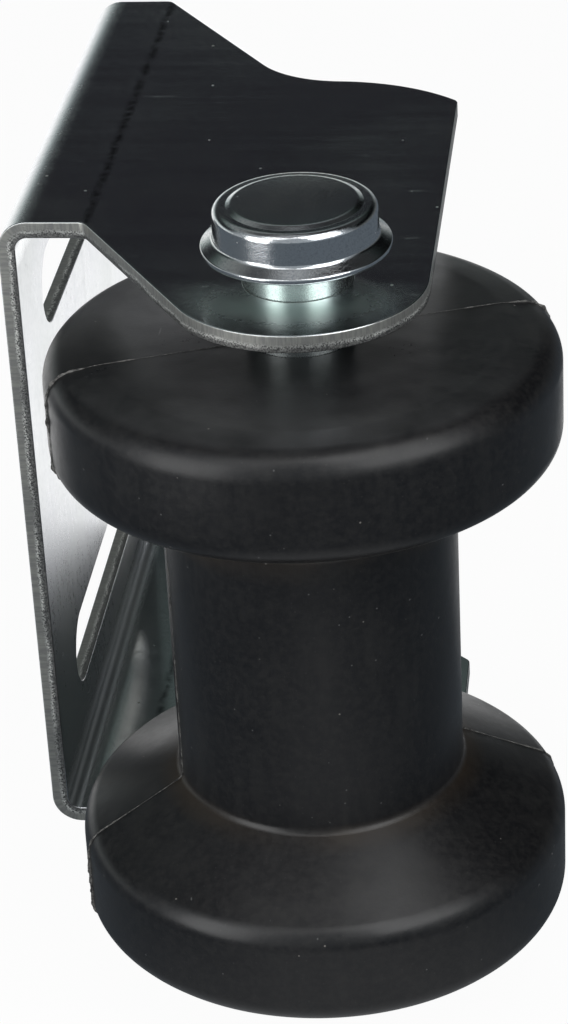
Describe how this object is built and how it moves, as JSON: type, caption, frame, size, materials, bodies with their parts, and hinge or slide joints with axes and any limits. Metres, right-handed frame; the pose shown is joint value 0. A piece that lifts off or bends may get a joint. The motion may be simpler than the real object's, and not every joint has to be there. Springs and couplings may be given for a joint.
{
  "type": "boat trailer roller",
  "caption": "Rubber spool roller on a steel shaft in a folded steel bracket with slotted web, to guide a boat's keel onto a trailer.",
  "frame": {"origin": "middle of the web's outer face, which bolts to the trailer's frame", "axes": "+X from the web towards the roller, +Y along the web away from the roller, +Z along the shaft towards the end that is up in the picture"},
  "size_m": [0.0864, 0.1554, 0.1295],
  "materials": {
    "zinc_sheet": "bright zinc-plated sheet, smooth faces and sheared edges",
    "black_rubber": "satin moulded rubber with a parting line",
    "zinc_shaft": "bright zinc-plated bar",
    "zinc_cap": "bright zinc-plated drawn sheet with a fine grain",
    "spring_steel": "hardened spring strip"
  },
  "bodies": {
    "bracket": {"bracket": "zinc_sheet"},
    "shaft": {"shaft": "zinc_shaft", "upper_cap": "zinc_cap", "lower_cap": "zinc_cap", "upper_retainer": "spring_steel", "lower_retainer": "spring_steel"},
    "roller": {"roller": "black_rubber"}
  },
  "joints": [
    {"name": "shaft_spin", "type": "hinge", "parent": "bracket", "child": "shaft", "pos_m": [0.0483, -0.06865, 0], "axis": [0, 0, 1], "continuous": true},
    {"name": "roller_spin", "type": "hinge", "parent": "shaft", "child": "roller", "pos_m": [0.0483, -0.06865, 0], "axis": [0, 0, 1], "continuous": true}
  ]
}
